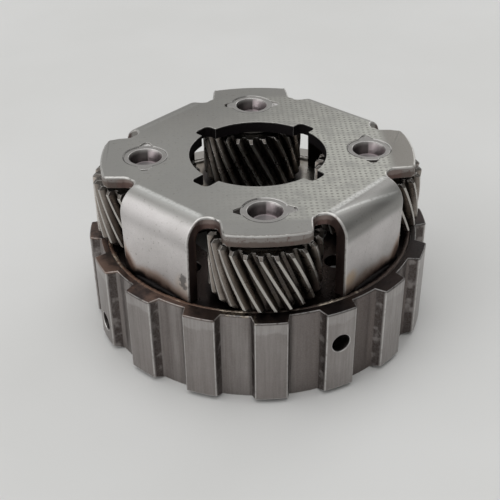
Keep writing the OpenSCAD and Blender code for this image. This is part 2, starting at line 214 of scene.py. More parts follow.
RIM_SCUFF = (0.330, 0.280, 0.215, 1.0)
SCUFF_TURN = math.radians(-100.0)
SCUFF_SPREAD = 0.13
RUBBED_STEEL = (0.640, 0.630, 0.615, 1.0)
CREST_BAND = (0.20, 0.18, 0.17, 1.0)
CREST_LOW = (0.25, 0.22, 0.21, 1.0)
STREAK_DARK = (0.12, 0.105, 0.10, 1.0)
STAIN_BROWN = (0.12, 0.100, 0.090, 1.0)
FLECK_BRIGHT = (0.50, 0.49, 0.48, 1.0)


def eased_copy(node, name, ease, steps=2, first=None, first_ease=0.0, first_steps=3):
    """A copy of a CAD solid with its sharp edges rounded; the rounded faces carry the mark 'rubbed'.
    Edges that the test 'first' picks out are rounded before the others, by their own amount."""
    shape = bmesh.new()
    shape.from_mesh(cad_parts[node].data)
    bmesh.ops.remove_doubles(shape, verts=shape.verts[:], dist=SAME_PLACE)
    bmesh.ops.dissolve_limit(shape, angle_limit=FLAT_ANGLE, use_dissolve_boundaries=False,
                             verts=shape.verts[:], edges=shape.edges[:])
    rubbed = shape.loops.layers.float.new("rubbed")
    for test, amount, cuts in ((first, first_ease, first_steps), (lambda edge: True, ease, steps)):
        corners = [edge for edge in shape.edges
                   if test and len(edge.link_faces) == 2 and edge.is_convex
                   and edge.calc_face_angle(0.0) > SHARP_ANGLE and test(edge)]
        rounded = bmesh.ops.bevel(shape, geom=corners, offset=amount, offset_type="OFFSET", affect="EDGES",
                                  segments=cuts, profile=0.5, material=-1, clamp_overlap=False)
        for face in rounded["faces"]:
            for corner in face.loops:
                corner[rubbed] = 1.0
    piece = bpy.data.objects.new(name, bpy.data.meshes.new(name))
    shape.to_mesh(piece.data)
    shape.free()
    piece.data.shade_smooth()
    piece.data.set_sharp_from_angle(angle=SMOOTH_ANGLE)
    bpy.context.scene.collection.objects.link(piece)
    flat = piece.modifiers.new("flat_faces", "WEIGHTED_NORMAL")
    flat.keep_sharp = True
    flat.weight = 90
    return piece


def reckon(tree, operation, first, second=0.0, third=0.0):
    """One sum on values of the surface."""
    made = put(tree, "ShaderNodeMath", {0: first, 1: second, 2: third}, operation=operation)
    return made.outputs[0]


def times(tree, first, second):
    """The product of two values of the surface."""
    return reckon(tree, "MULTIPLY", first, second)


def dress(tree, shader, tone, rough, metal=1.0, lift=None, strength=0.0, depth=0.0):
    """Feeds a metal's shader with its colour, its roughness and its fine relief."""
    tree.links.new(tone, shader.inputs["Base Color"])
    tree.links.new(rough, shader.inputs["Roughness"])
    if isinstance(metal, bpy.types.NodeSocket):
        tree.links.new(metal, shader.inputs["Metallic"])
    else:
        shader.inputs["Metallic"].default_value = metal
    if lift is not None:
        bump = put(tree, "ShaderNodeBump", {"Strength": strength, "Distance": depth, "Height": lift})
        tree.links.new(bump.outputs["Normal"], shader.inputs["Normal"])


def new_group(name, ins, outs):
    """Starts a shared shader group with named number and colour sockets."""
    group = bpy.data.node_groups.new(name, "ShaderNodeTree")
    for label, kind, value in ins:
        socket = group.interface.new_socket(name=label, in_out="INPUT", socket_type=kind)
        socket.default_value = value
    for label, kind in outs:
        group.interface.new_socket(name=label, in_out="OUTPUT", socket_type=kind)
    return group, put(group, "NodeGroupInput"), put(group, "NodeGroupOutput")


# Place on the drum: how far round, how far out and how high a point of the surface is.
drum_place, inside, outside = new_group("drum_place", [], [
    ("Round", "NodeSocketFloat"), ("Radius", "NodeSocketFloat"), ("Height", "NodeSocketFloat")])
spot = put(drum_place, "ShaderNodeTexCoord").outputs["Object"]
axes = put(drum_place, "ShaderNodeSeparateXYZ", {0: spot})
turn = reckon(drum_place, "ARCTAN2", axes.outputs["Y"], axes.outputs["X"])
drum_place.links.new(turn, outside.inputs["Round"])
across = put(drum_place, "ShaderNodeCombineXYZ", {"X": axes.outputs["X"], "Y": axes.outputs["Y"]})
reach = put(drum_place, "ShaderNodeVectorMath", {0: across.outputs[0]}, operation="LENGTH")
drum_place.links.new(reach.outputs["Value"], outside.inputs["Radius"])
drum_place.links.new(axes.outputs["Z"], outside.inputs["Height"])

# Steel grain: broad stains, fine flecks and pits, and a rubbed share that breaks up along the edges.
steel_grain, inside, outside = new_group("steel_grain", [
    ("Stain Scale", "NodeSocketFloat", 120.0), ("Fleck Scale", "NodeSocketFloat", 2600.0)], [
        ("Stain", "NodeSocketFloat"), ("Fleck", "NodeSocketFloat"), ("Pits", "NodeSocketFloat"),
        ("Rubbed", "NodeSocketFloat")])
spot = put(steel_grain, "ShaderNodeTexCoord").outputs["Object"]
steel_grain.links.new(ramp(steel_grain, cloud(steel_grain, spot, inside.outputs["Stain Scale"], 4.0, 0.6),
                           0.32, 0.68), outside.inputs["Stain"])
flecks = cloud(steel_grain, spot, inside.outputs["Fleck Scale"], 2.0, 0.6)
steel_grain.links.new(ramp(steel_grain, flecks, 0.3, 0.7), outside.inputs["Fleck"])
steel_grain.links.new(ramp(steel_grain, cloud(steel_grain, spot, 1500.0, 1.0, 0.5), 0.68, 0.74),
                      outside.inputs["Pits"])
mark = put(steel_grain, "ShaderNodeAttribute", attribute_name="rubbed")
broken = ramp(steel_grain, cloud(steel_grain, spot, 700.0, 3.0, 0.6), 0.30, 0.52, 0.25, 1.0)
steel_grain.links.new(times(steel_grain, mark.outputs["Fac"], broken), outside.inputs["Rubbed"])

hub_finish, tree, shader = new_finish("hub_steel")
where = put(tree, "ShaderNodeGroup", node_tree=drum_place)
grain = put(tree, "ShaderNodeGroup", {"Stain Scale": 130.0, "Fleck Scale": 2400.0}, node_tree=steel_grain)
arc = times(tree, where.outputs["Round"], ARC_RADIUS)
streak_spot = put(tree, "ShaderNodeCombineXYZ", {
    "X": arc, "Y": times(tree, where.outputs["Radius"], 0.6),
    "Z": times(tree, where.outputs["Height"], 0.045)})
streaks = ramp(tree, cloud(tree, streak_spot.outputs[0], 1500.0, 4.0, 0.65), 0.28, 0.72)
bands = ramp(tree, cloud(tree, streak_spot.outputs[0], 330.0, 3.0, 0.6), 0.40, 0.66)
blotch_spot = put(tree, "ShaderNodeTexCoord").outputs["Object"]
blotches = ramp(tree, cloud(tree, blotch_spot, 330.0, 2.0, 0.5), 0.47, 0.70)
crest = ramp(tree, where.outputs["Radius"], *CREST_RADII)
groove = ramp(tree, where.outputs["Radius"], *GROOVE_RADII, 1.0, 0.0)
upper = ramp(tree, where.outputs["Height"], *RIM_HEIGHTS)
wander = ramp(tree, cloud(tree, blotch_spot, 160.0), 0.3, 0.7, -0.0007, 0.0007)
worn_top = ramp(tree, reckon(tree, "ADD", where.outputs["Height"], wander), *WORN_HEIGHTS)
sideways = put(tree, "ShaderNodeSeparateXYZ", {0: blotch_spot})
# the grooves darken with dirt bands and, towards the right, with painted shade
dirt_and_shade = reckon(tree, "MAXIMUM", times(tree, bands, 0.50),
               ramp(tree, sideways.outputs["X"], -0.012, 0.026, 0.0, 0.86))
groove_tone = two_tone(tree, dirt_and_shade, GROOVE_STEEL, GROOVE_DIRT_AND_SHADE)
flank_tone = two_tone(tree, times(tree, blotches, 0.64), FLANK_DARK, GROUND_STEEL)
crest_tone = two_tone(tree, times(tree, bands, 0.35), GROUND_STEEL, CREST_BAND)
low_share = ramp(tree, where.outputs["Height"], 0.003, 0.020, 0.30, 0.0)
crest_tone = two_tone(tree, low_share, crest_tone, CREST_LOW)
# painted highlight: the crests grow lighter towards the right; the band along their tops is real wear
right_highlight = ramp(tree, sideways.outputs["X"], 0.005, 0.030, 0.0, 0.40)
crest_tone = two_tone(tree, right_highlight, crest_tone, WORN_AND_LIT_STEEL)
crest_tone = two_tone(tree, times(tree, worn_top, 0.55), crest_tone, WORN_AND_LIT_STEEL)
tone = two_tone(tree, groove, flank_tone, groove_tone)
tone = two_tone(tree, crest, tone, crest_tone)
tone = two_tone(tree, times(tree, streaks, 0.22), tone, STREAK_DARK)
tone = two_tone(tree, times(tree, grain.outputs["Stain"], 0.15), tone, STAIN_BROWN)
tone = two_tone(tree, times(tree, grain.outputs["Fleck"], 0.10), tone, FLECK_BRIGHT)
# the top land is painted near black, partly oil and partly painted shade under the cage, and darker towards
# the right
rusty = times(tree, ramp(tree, cloud(tree, blotch_spot, 95.0, 4.0, 0.65), 0.36, 0.64),
              ramp(tree, sideways.outputs["X"], -0.038, -0.012, 1.0, 0.30))
rim_tone = two_tone(tree, rusty, OIL_AND_SHADE_BLACK, RIM_RUST)
black_share = ramp(tree, sideways.outputs["X"], 0.004, 0.028, 0.0, 0.70)
rim_tone = two_tone(tree, black_share, rim_tone, RIM_BLACK)
off_scuff = reckon(tree, "ABSOLUTE", reckon(tree, "SUBTRACT", where.outputs["Round"], SCUFF_TURN))
scuff = times(tree, ramp(tree, off_scuff, 0.5 * SCUFF_SPREAD, SCUFF_SPREAD, 0.9, 0.0),
              ramp(tree, cloud(tree, blotch_spot, 900.0, 3.0, 0.6), 0.42, 0.60))
rim_tone = two_tone(tree, scuff, rim_tone, RIM_SCUFF)
rim_tone = two_tone(tree, ramp(tree, sideways.outputs["Y"], 0.018, 0.032), rim_tone, RIM_CLEAN)
tone = two_tone(tree, upper, tone, rim_tone)
rubbed_share = ramp(tree, where.outputs["Height"], 0.0268, 0.0272, 0.62, 0.30)
tone = two_tone(tree, times(tree, grain.outputs["Rubbed"], rubbed_share), tone, RUBBED_STEEL)
lift = reckon(tree, "ADD", times(tree, streaks, 0.6), times(tree, grain.outputs["Fleck"], 0.4))
dress(tree, shader, tone, ramp(tree, streaks, 0.0, 1.0, 0.34, 0.46), 1.0, lift, 0.22, 0.0001)

hub = eased_copy("clutch_hub", "splined_drum", HUB_EASE)
hub.data.materials.append(hub_finish)
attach(hub, "carrier")
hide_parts("clutch_hub")


# Base plate
# A flat blanked steel disc pressed into the top of the drum. It carries the lower ends of the pins
# and the feet of the cage, and the heat of welding has left it brown and oily. Its front is painted darker
# as shade, and a ring round each planet and its edge by the drum's rim are dark partly from oil and heat
# and partly as painted shadow.
BASE_STEEL = (0.520, 0.500, 0.465, 1.0)
BASE_BROWN = (0.320, 0.280, 0.240, 1.0)
BASE_FRONT_SHADE = (0.062, 0.044, 0.041, 1.0)
BASE_EASE = 0.0003
SINGED_AND_SHADOW_RADII = (0.0385, 0.0425)
OIL_AND_SHADOW_RADII = (0.0156, 0.0172)
PIN_CIRCLE = 0.032

# Place on a planet: how far a point is from the axis of its own pin, and how high it is.
planet_place, inside, outside = new_group("planet_place", [], [
    ("Radius", "NodeSocketFloat"), ("Height", "NodeSocketFloat")])
spot = put(planet_place, "ShaderNodeTexCoord").outputs["Object"]
axes = put(planet_place, "ShaderNodeSeparateXYZ", {0: spot})
side_x = reckon(planet_place, "ABSOLUTE", axes.outputs["X"])
side_y = reckon(planet_place, "ABSOLUTE", axes.outputs["Y"])
long_side = reckon(planet_place, "SUBTRACT", reckon(planet_place, "MAXIMUM", side_x, side_y), PIN_CIRCLE)
short_side = reckon(planet_place, "MINIMUM", side_x, side_y)
squares = reckon(planet_place, "ADD", times(planet_place, long_side, long_side),
                 times(planet_place, short_side, short_side))
planet_place.links.new(reckon(planet_place, "SQRT", squares), outside.inputs["Radius"])
planet_place.links.new(axes.outputs["Z"], outside.inputs["Height"])

base_finish, tree, shader = new_finish("base_steel")
where = put(tree, "ShaderNodeGroup", node_tree=drum_place)
grain = put(tree, "ShaderNodeGroup", {"Stain Scale": 160.0, "Fleck Scale": 2200.0}, node_tree=steel_grain)
axes = put(tree, "ShaderNodeSeparateXYZ", {0: put(tree, "ShaderNodeTexCoord").outputs["Object"]})
# near the rim in front: heat tint and painted shadow in the gap between the legs' feet and the drum's rim
singed_and_shadowed = times(tree, ramp(tree, where.outputs["Radius"], *SINGED_AND_SHADOW_RADII),
               ramp(tree, axes.outputs["Y"], 0.010, 0.028, 1.0, 0.0))
planet = put(tree, "ShaderNodeGroup", node_tree=planet_place)
# a dark ring round each planet: oil, and the planet's painted shadow on the plate
oil_and_shadow_ring = ramp(tree, planet.outputs["Radius"], *OIL_AND_SHADOW_RADII, 0.95, 0.0)
tone = two_tone(tree, grain.outputs["Stain"], BASE_STEEL, BASE_BROWN)
# painted shade over the front of the plate
tone = two_tone(tree, ramp(tree, axes.outputs["Y"], -0.012, 0.004, 0.95, 0.0), tone, BASE_FRONT_SHADE)
tone = two_tone(tree, oil_and_shadow_ring, tone, OIL_AND_SHADE_BLACK)
tone = two_tone(tree, singed_and_shadowed, tone, OIL_AND_SHADE_BLACK)
tone = two_tone(tree, times(tree, grain.outputs["Rubbed"], 0.2), tone, RUBBED_STEEL)
rough = ramp(tree, grain.outputs["Stain"], 0.0, 1.0, 0.26, 0.36)
dress(tree, shader, tone, rough, 1.0, grain.outputs["Fleck"], 0.2, 0.0001)

base = eased_copy("base_plate", "pin_base", BASE_EASE)
base.data.materials.append(base_finish)
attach(base, "carrier")
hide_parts("base_plate")


# Carrier cage
# One steel blank, pressed to a flat plate with four lobes and four legs bent down between them. The plate
# has a fine dimpled skin, its sheared edges are gritty and brown, and the weld has tinted the legs' feet.
# Light and shade are painted on it too: highlights and shade on the bends and the leg tops, a sheen on the
# right of the plate, shade on its back, in the gaps round the pins, in the window, on the faces that look
# down or inward, and shadow at the legs' feet.
DRAWN_EASE = 0.00055
SHEAR_EASE = 0.00010
PLATE_SMOOTH = (0.375, 0.370, 0.355, 1.0)
PLATE_KNURLED_SHEEN = (0.640, 0.640, 0.590, 1.0)
LOBE_END_DARK = (0.295, 0.276, 0.250, 1.0)
BEND_SHADE = (0.300, 0.294, 0.284, 1.0)
RIDGE_HIGHLIGHT = (0.430, 0.428, 0.414, 1.0)
BEND_HIGHLIGHT = (0.640, 0.640, 0.625, 1.0)
DRAWN_HIGHLIGHT = (0.800, 0.800, 0.780, 1.0)
LEG_TOP_SHADE = (0.600, 0.577, 0.574, 1.0)
LEG_STEEL = (0.705, 0.678, 0.674, 1.0)
CAGE_DARK = (0.300, 0.286, 0.270, 1.0)
SHEARED_BRIGHT = (0.290, 0.268, 0.254, 1.0)
SHEARED_BROWN = (0.170, 0.140, 0.125, 1.0)
RELIEF_BROWN = (0.165, 0.112, 0.100, 1.0)
RELIEF_BRIGHT = (0.280, 0.226, 0.208, 1.0)
RELIEF_GREY = (0.250, 0.240, 0.226, 1.0)
LEG_SIDE_BROWN = (0.088, 0.062, 0.057, 1.0)
INNER_SHADE = (0.050, 0.038, 0.036, 1.0)
WINDOW_SHADE = (0.030, 0.026, 0.028, 1.0)
HEAT_STRAW = (0.620, 0.480, 0.345, 1.0)
HEAT_TAN = (0.400, 0.290, 0.225, 1.0)
HEAT_BROWN = (0.140, 0.087, 0.067, 1.0)
SOOT_AND_SHADOW = (0.012, 0.010, 0.010, 1.0)
BRUISE = (0.110, 0.110, 0.112, 1.0)
GAP_SHADE = (0.036, 0.032, 0.031, 1.0)
GAP_HIGHLIGHT = (0.640, 0.630, 0.620, 1.0)
FRONT_LIP_SHADE = (0.170, 0.160, 0.150, 1.0)
BACK_SHADE = (0.230, 0.222, 0.208, 1.0)
CAGE_FLECK = (0.40, 0.39, 0.37, 1.0)
PIT_BROWN = (0.16, 0.14, 0.12, 1.0)
DOT_DARK = (0.17, 0.16, 0.145, 1.0)
CAGE_RUBBED = (0.66, 0.65, 0.63, 1.0)
BEND_START = 0.0358
RIDGE_MIDDLE = 0.03925
RIDGE_SKEW = 0.165
DIMPLE_STEP_X = 0.00152
DIMPLE_STEP_Y = 0.00147
RELIEF_MIDDLE = (0.01523, 0.03800)
LEG_FOOT = 0.0266
STRAW_MIDDLE = (-0.0104, 0.0046, 0.0)
BRUISE_MIDDLE = (-0.0135, 0.0047, 0.0)
BRUISE_STRETCH = (1.25, 0.80, 1.0)
DIAGONAL = 0.70711
WINDOW_REACH = 0.0250
STAKE_REACH = 0.0090
STAKE_RADII = (STAKE_REACH, 0.0094)
GAP_RADII = (0.00625, 0.00665)
WINDOW_RADII = (0.0244, 0.0248)
LEG_HALF = (0.0124, 0.0129)
LEG_REACH = (0.0350, 0.0358)
EDGE_TOP = (0.0503, 0.0507)
EDGE_LOW = (0.0465, 0.0474)
RELIEF_RADII = (0.0034, 0.0040)
BURNISHED_HEIGHTS = (0.0489, 0.0496)
PLATE_TOP = (0.05085, 0.05097)
LOBE_REACH = (0.0355, 0.0385)

cage_finish, tree, shader = new_finish("cage_steel")
spot = put(tree, "ShaderNodeTexCoord")
facing = put(tree, "ShaderNodeSeparateXYZ", {0: spot.outputs["Normal"]})
spot = spot.outputs["Object"]
axes = put(tree, "ShaderNodeSeparateXYZ", {0: spot})
height = axes.outputs["Z"]
grain = put(tree, "ShaderNodeGroup", {"Stain Scale": 90.0, "Fleck Scale": 2800.0}, node_tree=steel_grain)
side_x = reckon(tree, "ABSOLUTE", axes.outputs["X"])
side_y = reckon(tree, "ABSOLUTE", axes.outputs["Y"])
long_side = reckon(tree, "MAXIMUM", side_x, side_y)
short_side = reckon(tree, "MINIMUM", side_x, side_y)
out_leg = times(tree, reckon(tree, "ADD", side_x, side_y), DIAGONAL)
along_leg = times(tree, reckon(tree, "SUBTRACT", side_x, side_y), DIAGONAL)
face_x = times(tree, facing.outputs["X"], reckon(tree, "SIGN", axes.outputs["X"]))
face_y = times(tree, facing.outputs["Y"], reckon(tree, "SIGN", axes.outputs["Y"]))
face_out = times(tree, reckon(tree, "ADD", face_x, face_y), DIAGONAL)
face_along = reckon(tree, "ABSOLUTE", times(tree, reckon(tree, "SUBTRACT", face_x, face_y), DIAGONAL))
wander = cloud(tree, spot, 190.0, 3.0, 0.6)

# where the sheared edges are: the outline of the plate, the sides of the legs and the reliefs between them
on_leg = times(tree, ramp(tree, reckon(tree, "ABSOLUTE", along_leg), *LEG_HALF, 1.0, 0.0),
               ramp(tree, out_leg, *LEG_REACH))
edge_band = times(tree, ramp(tree, height, *EDGE_TOP, 1.0, 0.0), ramp(tree, height, *EDGE_LOW))
sheared = times(tree, edge_band, reckon(tree, "SUBTRACT", 1.0, on_leg))
leg_side = times(tree, ramp(tree, face_along, 0.55, 0.85), ramp(tree, out_leg, 0.0352, 0.0358))
leg_side = times(tree, leg_side, ramp(tree, height, 0.0490, 0.0500, 1.0, 0.0))
reach = put(tree, "ShaderNodeVectorMath", {
    0: put(tree, "ShaderNodeCombineXYZ", {"X": short_side, "Y": long_side}).outputs[0],
    1: (RELIEF_MIDDLE[0], RELIEF_MIDDLE[1], 0.0)}, operation="DISTANCE")
relief = times(tree, ramp(tree, reach.outputs["Value"], *RELIEF_RADII, 1.0, 0.0),
               ramp(tree, height, 0.0500, 0.0506, 1.0, 0.0))
edge_height = reckon(tree, "ADD", height, ramp(tree, wander, 0.2, 0.8, -0.0006, 0.0006))
burnished = ramp(tree, edge_height, *BURNISHED_HEIGHTS)
gritty = ramp(tree, cloud(tree, spot, 1300.0, 2.0, 0.6), 0.56, 0.66)
edge_tone = two_tone(tree, burnished, SHEARED_BROWN, SHEARED_BRIGHT)
edge_tone = two_tone(tree, times(tree, gritty, 0.7), edge_tone, RELIEF_BROWN)

# the skin of the sheet: stains, flecks and a punched grid of dots that fades to the left and on the lobes;
# the lighter tone of the dotted zone is partly a painted sheen
knurl_and_sheen = times(tree, ramp(tree, height, *PLATE_TOP), ramp(tree, long_side, *LOBE_REACH, 1.0, 0.0))
knurl_and_sheen = times(tree, knurl_and_sheen, ramp(tree, axes.outputs["X"], -0.018, 0.022, 0.08, 1.0))
knurl_and_sheen = times(tree, knurl_and_sheen, ramp(tree, cloud(tree, spot, 260.0), 0.30, 0.60, 0.45, 1.0))
wave_x = reckon(tree, "COSINE", times(tree, axes.outputs["X"], 2 * math.pi / DIMPLE_STEP_X))
wave_y = reckon(tree, "COSINE", times(tree, axes.outputs["Y"], 2 * math.pi / DIMPLE_STEP_Y))
dots = times(tree, knurl_and_sheen, ramp(tree, reckon(tree, "ADD", times(tree, wave_x, 0.7), wave_y), 0.55, 1.25))
skin = two_tone(tree, knurl_and_sheen, PLATE_SMOOTH, PLATE_KNURLED_SHEEN)
# the end of the right lobe is darker
lobe_end = times(tree, ramp(tree, axes.outputs["X"], 0.0355, 0.0390), ramp(tree, height, 0.0500, 0.0505))
skin = two_tone(tree, times(tree, lobe_end, 0.85), skin, LOBE_END_DARK)
# painted shade over the back of the plate, more on the left
back_shade = times(tree, ramp(tree, axes.outputs["Y"], 0.004, 0.034, 0.0, 0.38),
             ramp(tree, axes.outputs["X"], -0.030, 0.010, 1.6, 1.0))
skin = two_tone(tree, back_shade, skin, BACK_SHADE)
on_right = ramp(tree, axes.outputs["X"], -0.006, 0.006)
in_front = ramp(tree, axes.outputs["Y"], -0.006, 0.006, 1.0, 0.0)
front_right = times(tree, times(tree, on_leg, on_right), in_front)
front_left = times(tree, reckon(tree, "SUBTRACT", on_leg, front_right), in_front)
# on the front right bend: painted shade, with a broad painted highlight over the ridge
ridge_place = reckon(tree, "MULTIPLY_ADD", along_leg, RIDGE_SKEW, RIDGE_MIDDLE)
past_ridge = reckon(tree, "SUBTRACT", out_leg, ridge_place)
ridge_highlight = times(tree, ramp(tree, past_ridge, -0.0018, -0.0002),
              ramp(tree, past_ridge, 0.0003, 0.0013, 1.0, 0.0))
skin = two_tone(tree, front_right, skin, two_tone(tree, ridge_highlight, BEND_SHADE, RIDGE_HIGHLIGHT))
# painted highlight along the front left bend
left_bend_highlight = ramp(tree, out_leg, 0.0364, 0.0384, 1.0, 0.0)
skin = two_tone(tree, times(tree, left_bend_highlight, front_left), skin, BEND_HIGHLIGHT)
# the leg's own tone starts lower on the right, below the painted shade of its bend
left_skin = ramp(tree, out_leg, 0.0376, 0.0412)
right_skin = ramp(tree, height, 0.0424, 0.0450, 1.0, 0.0)
skin_step = reckon(tree, "SUBTRACT", right_skin, left_skin)
leg_skin = reckon(tree, "MULTIPLY_ADD", on_right, skin_step, left_skin)
leg_skin = times(tree, times(tree, leg_skin, on_leg), ramp(tree, in_front, 0.0, 1.0, 0.6, 1.0))
# painted shade on the upper part of the leg, just below the bend
leg_tone = two_tone(tree, ramp(tree, height, 0.0418, 0.0446), LEG_STEEL, LEG_TOP_SHADE)
skin = two_tone(tree, leg_skin, skin, leg_tone)
skin = two_tone(tree, times(tree, grain.outputs["Stain"], 0.22), skin, CAGE_DARK)
skin = two_tone(tree, times(tree, grain.outputs["Fleck"], 0.20), skin, CAGE_FLECK)
skin = two_tone(tree, times(tree, grain.outputs["Pits"], 0.35), skin, PIT_BROWN)
skin = two_tone(tree, times(tree, dots, 0.70), skin, DOT_DARK)

# the bend is drawn over the tool, which leaves a line at its start and a faint ridge on the right;
# their brightness is a painted highlight
first_line = reckon(tree, "ABSOLUTE", reckon(tree, "SUBTRACT", out_leg, BEND_START))
first_line = times(tree, ramp(tree, first_line, 0.0002, 0.0012, 1.0, 0.0),
                   ramp(tree, on_right, 0.0, 1.0, 1.0, 0.85))
ridge_line = reckon(tree, "ABSOLUTE", reckon(tree, "ADD", past_ridge, 0.0002))
ridge_line = times(tree, ramp(tree, ridge_line, 0.0001, 0.0005, 0.55, 0.0), front_right)
drawn_highlight = times(tree, reckon(tree, "ADD", first_line, ridge_line), ramp(tree, height, 0.0482, 0.0490))
drawn_highlight = times(tree, drawn_highlight, ramp(tree, in_front, 0.0, 1.0, 0.10, 1.0))
drawn_highlight = times(tree, drawn_highlight,
                   ramp(tree, reckon(tree, "ABSOLUTE", along_leg), 0.0114, 0.0126, 1.0, 0.0))
drawn_highlight = times(tree, drawn_highlight, ramp(tree, cloud(tree, spot, 1100.0), 0.30, 0.56, 0.35, 1.0))
skin = two_tone(tree, drawn_highlight, skin, DRAWN_HIGHLIGHT)

# heat of the welds: black along the foot that climbs at the side lobes, part soot and part painted
# shadow in the gap at the drum's rim, a brown halo, straw corners
above_foot = reckon(tree, "SUBTRACT", height, LEG_FOOT)
above_foot = reckon(tree, "SUBTRACT", above_foot, ramp(tree, wander, 0.25, 0.75, -0.0007, 0.0007))
climb = ramp(tree, along_leg, 0.0072, 0.0132)
soot_top = reckon(tree, "ADD", ramp(tree, along_leg, -0.0120, 0.0060, -0.0002, 0.0010),
                  ramp(tree, along_leg, 0.0095, 0.0132, 0.0, 0.0034))
brown_low = ramp(tree, along_leg, -0.0100, -0.0010, 0.0012, 0.0030)
brown_top = reckon(tree, "MULTIPLY_ADD", climb, 0.0046, brown_low)
from_dip = reckon(tree, "ABSOLUTE", reckon(tree, "SUBTRACT", along_leg, 0.0072))
brown_top = reckon(tree, "SUBTRACT", brown_top, ramp(tree, from_dip, 0.0, 0.0034, 0.0014, 0.0))
above_brown = reckon(tree, "SUBTRACT", above_foot, brown_top)
soot_and_shadow = ramp(tree, reckon(tree, "SUBTRACT", above_foot, soot_top), -0.0002, 0.0016, 1.0, 0.0)
brown = ramp(tree, above_brown, -0.0018, 0.0010, 1.0, 0.0)
corner_spot = put(tree, "ShaderNodeCombineXYZ", {"X": along_leg, "Y": above_foot})
from_corner = put(tree, "ShaderNodeVectorMath", {0: corner_spot.outputs[0], 1: STRAW_MIDDLE},
                  operation="DISTANCE")
straw = times(tree, ramp(tree, from_corner.outputs["Value"], 0.0012, 0.0042, 1.0, 0.0),
              ramp(tree, on_right, 0.0, 1.0, 0.30, 0.80))
straw = times(tree, straw, times(tree, in_front, on_leg))
tan = times(tree, ramp(tree, above_brown, 0.0, 0.0030, 0.75, 0.0), on_leg)
from_bruise = put(tree, "ShaderNodeVectorMath", {
    0: put(tree, "ShaderNodeVectorMath", {0: corner_spot.outputs[0], 1: BRUISE_STRETCH},
           operation="MULTIPLY").outputs[0], 1: BRUISE_MIDDLE}, operation="DISTANCE")
ragged = ramp(tree, cloud(tree, spot, 800.0), 0.3, 0.7, -0.0009, 0.0009)
bruise = reckon(tree, "ADD", from_bruise.outputs["Value"], ragged)
bruise = times(tree, ramp(tree, bruise, 0.0009, 0.0019, 0.75, 0.0), front_left)
skin = two_tone(tree, straw, skin, HEAT_STRAW)
skin = two_tone(tree, tan, skin, HEAT_TAN)
skin = two_tone(tree, bruise, skin, BRUISE)
skin = two_tone(tree, times(tree, brown, 0.92), skin, HEAT_BROWN)
skin = two_tone(tree, soot_and_shadow, skin, SOOT_AND_SHADOW)

# a thin gap round each pin and the two stake marks beside it, in painted shade but for a painted highlight
# on the walls that face the window
behind_pin = reckon(tree, "WRAP", axes.outputs["Y"], PIN_CIRCLE / 2, -PIN_CIRCLE / 2)
beside_pin = reckon(tree, "WRAP", axes.outputs["X"], PIN_CIRCLE / 2, -PIN_CIRCLE / 2)
lit_side = reckon(tree, "ADD", beside_pin, behind_pin)
pin_gap = put(tree, "ShaderNodeVectorMath", {
    0: put(tree, "ShaderNodeCombineXYZ", {"X": short_side, "Y": long_side}).outputs[0],
    1: (0.0, PIN_CIRCLE, 0.0)}, operation="DISTANCE").outputs["Value"]
stake_mark = times(tree, ramp(tree, pin_gap, *STAKE_RADII, 0.9, 0.0),
                   ramp(tree, height, 0.0502, 0.0507, 1.0, 0.0))
pin_gap = times(tree, ramp(tree, pin_gap, *GAP_RADII, 1.0, 0.0),
                ramp(tree, wander, 0.36, 0.54, 0.45, 1.0))
gap_shade_and_highlight = two_tone(tree, ramp(tree, lit_side, 0.0040, 0.0062), GAP_SHADE, GAP_HIGHLIGHT)
tone = two_tone(tree, pin_gap, skin, gap_shade_and_highlight)
tone = two_tone(tree, sheared, tone, edge_tone)
tone = two_tone(tree, stake_mark, tone, gap_shade_and_highlight)
tone = two_tone(tree, leg_side, tone, LEG_SIDE_BROWN)
relief_tone = two_tone(tree, burnished, RELIEF_BROWN, RELIEF_BRIGHT)
relief_tone = two_tone(tree, ramp(tree, axes.outputs["Y"], 0.010, 0.016), relief_tone, RELIEF_GREY)
tone = two_tone(tree, relief, tone, relief_tone)
# painted shade on the faces that look down or inward, below the plate
inner_shade = reckon(tree, "MAXIMUM", ramp(tree, facing.outputs["Z"], -0.8, -0.5, 1.0, 0.0),
               ramp(tree, face_out, -0.9, -0.6, 1.0, 0.0))
inner_shade = times(tree, inner_shade, ramp(tree, height, 0.0475, 0.0479, 1.0, 0.0))
tone = two_tone(tree, inner_shade, tone, INNER_SHADE)
# the wall of the middle window is painted near black as shade
from_axis = put(tree, "ShaderNodeVectorMath", {
    0: put(tree, "ShaderNodeCombineXYZ", {"X": side_x, "Y": side_y}).outputs[0]}, operation="LENGTH")
in_window = times(tree, ramp(tree, from_axis.outputs["Value"], *WINDOW_RADII, 1.0, 0.0),
                  ramp(tree, height, 0.0505, 0.0508, 1.0, 0.0))
tone = two_tone(tree, in_window, tone, WINDOW_SHADE)
clean = reckon(tree, "SUBTRACT", 1.0, reckon(tree, "MAXIMUM", soot_and_shadow, inner_shade))
rubbed = times(tree, grain.outputs["Rubbed"], clean)
# painted shade on the upper round of the front lobe's edge
front_lip_shade = times(tree, ramp(tree, axes.outputs["Y"], -0.0420, -0.0400, 1.0, 0.0),
                  ramp(tree, facing.outputs["Z"], 0.62, 0.85))
front_lip_shade = times(tree, front_lip_shade, grain.outputs["Rubbed"])
tone = two_tone(tree, times(tree, rubbed, 0.55), tone, CAGE_RUBBED)
tone = two_tone(tree, times(tree, front_lip_shade, 0.85), tone, FRONT_LIP_SHADE)
rough = ramp(tree, grain.outputs["Stain"], 0.0, 1.0, 0.38, 0.46)
rough = reckon(tree, "MAXIMUM", rough, times(tree, leg_skin, 0.54))
rough = reckon(tree, "MAXIMUM", rough, times(tree, sheared, 0.55))
lift = reckon(tree, "ADD", times(tree, dots, -0.8), times(tree, grain.outputs["Fleck"], 0.30))
lift = reckon(tree, "SUBTRACT", lift, times(tree, times(tree, gritty, sheared), 0.6))
dress(tree, shader, tone, rough, 1.0, lift, 0.30, 0.00012)


